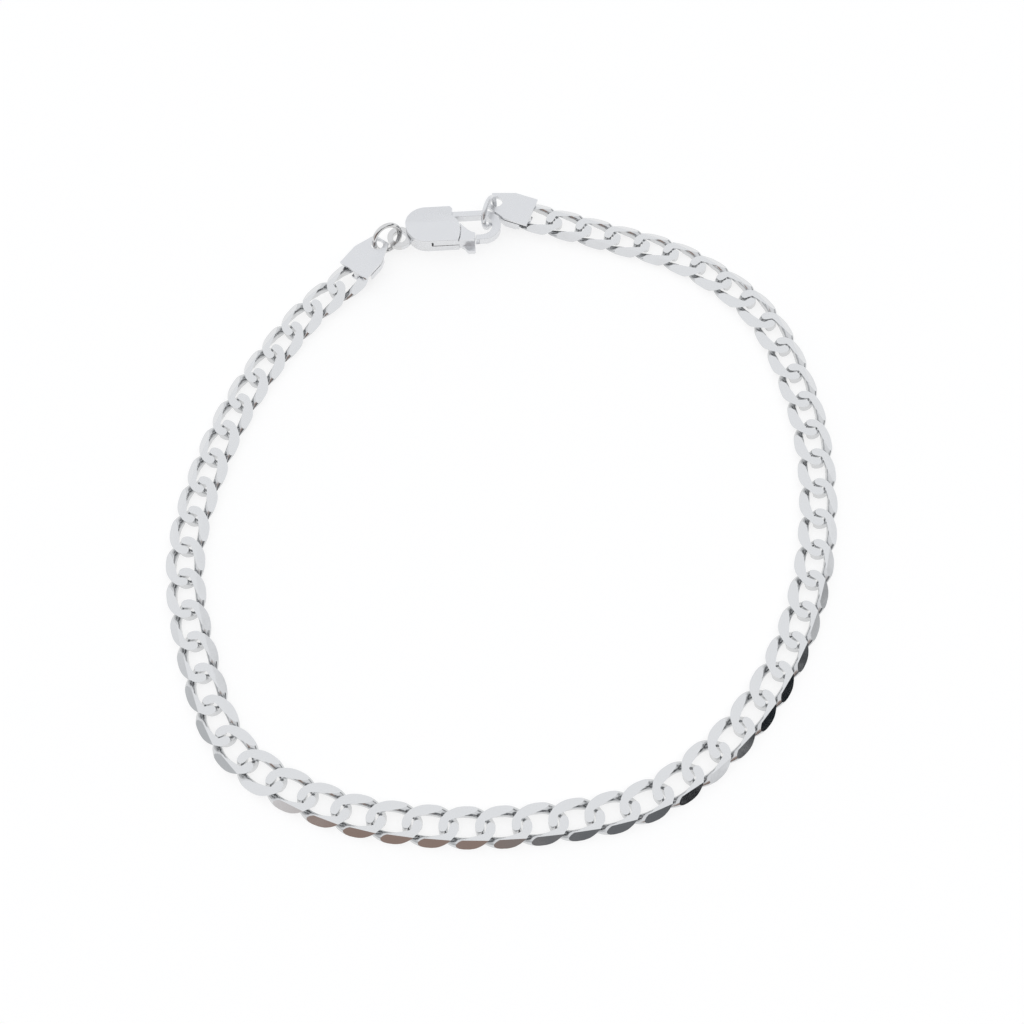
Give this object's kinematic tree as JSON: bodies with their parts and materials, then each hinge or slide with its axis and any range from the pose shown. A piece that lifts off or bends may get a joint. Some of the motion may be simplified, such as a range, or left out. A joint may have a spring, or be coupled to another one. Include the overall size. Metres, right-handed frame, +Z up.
{
  "type": "link bracelet",
  "caption": "Flat diamond-cut curb chain bracelet with box-shaped end caps, jump rings and a trigger clasp, lying closed in a loose loop.",
  "frame": {"origin": "on the surface the bracelet lies on, under the middle of the loop", "axes": "+X to the right, +Y away from the viewer towards the clasp, +Z up from the surface"},
  "size_m": [0.065, 0.0687, 0.0037],
  "materials": {
    "polished_silver": "polished silver",
    "satin_silver": "satin silver"
  },
  "bodies": {
    "bracelet": {"chain_right": "polished_silver", "chain_left": "polished_silver", "end_cap_right": "satin_silver", "end_cap_left": "satin_silver", "jump_ring_hook": "polished_silver", "jump_ring_eye": "polished_silver", "clasp_body": "satin_silver", "clasp_rivet": "polished_silver"},
    "lever": {"clasp_lever": "satin_silver"}
  },
  "joints": [
    {"name": "lever_pivot", "type": "hinge", "parent": "bracelet", "child": "lever", "pos_m": [-0.00763, 0.02928, 0.00124], "axis": [0, 0, 1], "range_deg": [0, 20], "stiffness_Nm_per_rad": 0.004}
  ]
}
